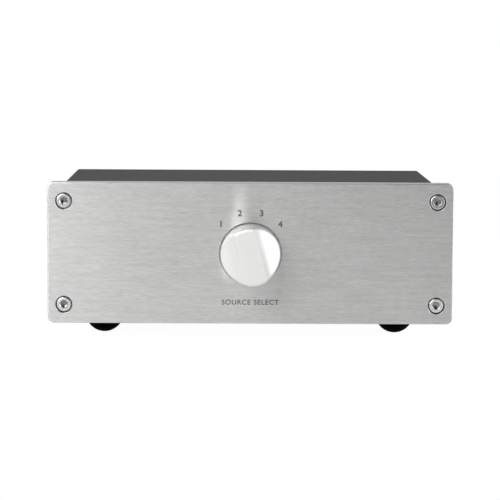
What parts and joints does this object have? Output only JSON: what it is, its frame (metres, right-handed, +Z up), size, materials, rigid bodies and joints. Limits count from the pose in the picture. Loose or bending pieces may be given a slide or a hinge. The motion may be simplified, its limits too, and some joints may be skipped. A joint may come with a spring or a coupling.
{
  "type": "audio source selector",
  "caption": "Passive line-level audio source selector: thick brushed front panel with a rotary knob, slim dark case on domed feet, phono jacks at the back.",
  "frame": {"origin": "on the standing surface, under the middle of the overall box", "axes": "+X to the right seen from the front, the front panel and knob face -Y, +Z up"},
  "size_m": [0.155, 0.162, 0.0604],
  "materials": {
    "panel_aluminium": "brushed lengthwise, clear anodised",
    "knob_aluminium": "fine satin, clear anodised",
    "case_aluminium": "dark grey fine satin",
    "screw_steel": "bright turned steel",
    "black_steel": "black oxide",
    "foot_rubber": "matt moulded",
    "foot_adhesive": "foam tape",
    "switch_steel": "nickel plated",
    "rotor_plastic": "moulded",
    "wafer_laminate": "phenolic laminate",
    "terminal_brass": "tinned brass",
    "jack_gold": "bright gold plate",
    "jack_white": "moulded white",
    "jack_red": "moulded red",
    "washer_black": "moulded black",
    "wire_white": "insulated wire",
    "wire_red": "insulated wire",
    "bus_copper": "bare tinned copper"
  },
  "bodies": {
    "case": {"front_panel": "panel_aluminium", "top_shell": "case_aluminium", "bottom_shell": "case_aluminium", "rear_panel": "case_aluminium", "front_panel_screws": "screw_steel", "rear_panel_screws": "black_steel", "front_left_foot": "foot_rubber", "front_right_foot": "foot_rubber", "rear_left_foot": "foot_rubber", "rear_right_foot": "foot_rubber", "foot_pads": "foot_adhesive", "switch_nut": "switch_steel", "switch_washer": "switch_steel", "switch_housing": "switch_steel", "stop_ring": "switch_steel", "contact_wafer": "wafer_laminate", "switch_terminals": "terminal_brass", "ground_lugs": "terminal_brass", "input_1_left_jack": "jack_gold", "input_1_right_jack": "jack_gold", "input_2_left_jack": "jack_gold", "input_2_right_jack": "jack_gold", "input_3_left_jack": "jack_gold", "input_3_right_jack": "jack_gold", "input_4_left_jack": "jack_gold", "input_4_right_jack": "jack_gold", "output_left_jack": "jack_gold", "output_right_jack": "jack_gold", "jack_nuts": "jack_gold", "jack_contacts": "jack_gold", "jack_rings_white": "jack_white", "jack_insulators_white": "jack_white", "jack_rings_red": "jack_red", "jack_insulators_red": "jack_red", "jack_inner_rings": "washer_black", "input_1_left_wire": "wire_white", "input_2_left_wire": "wire_white", "input_3_left_wire": "wire_white", "input_4_left_wire": "wire_white", "output_left_wire": "wire_white", "input_1_right_wire": "wire_red", "input_2_right_wire": "wire_red", "input_3_right_wire": "wire_red", "input_4_right_wire": "wire_red", "output_right_wire": "wire_red", "ground_bus_left": "bus_copper", "ground_bus_right": "bus_copper"},
    "selector": {"selector_knob": "knob_aluminium", "knob_set_screw": "black_steel", "switch_shaft": "switch_steel", "retaining_clip": "switch_steel", "switch_rotor": "rotor_plastic", "detent_balls": "switch_steel", "detent_spring": "switch_steel", "switch_wipers": "terminal_brass"}
  },
  "joints": [
    {"name": "selector_turn", "type": "hinge", "parent": "case", "child": "selector", "pos_m": [0, -0.0652, 0.0334], "axis": [0, 1, 0], "range_deg": [-30, 60]}
  ]
}
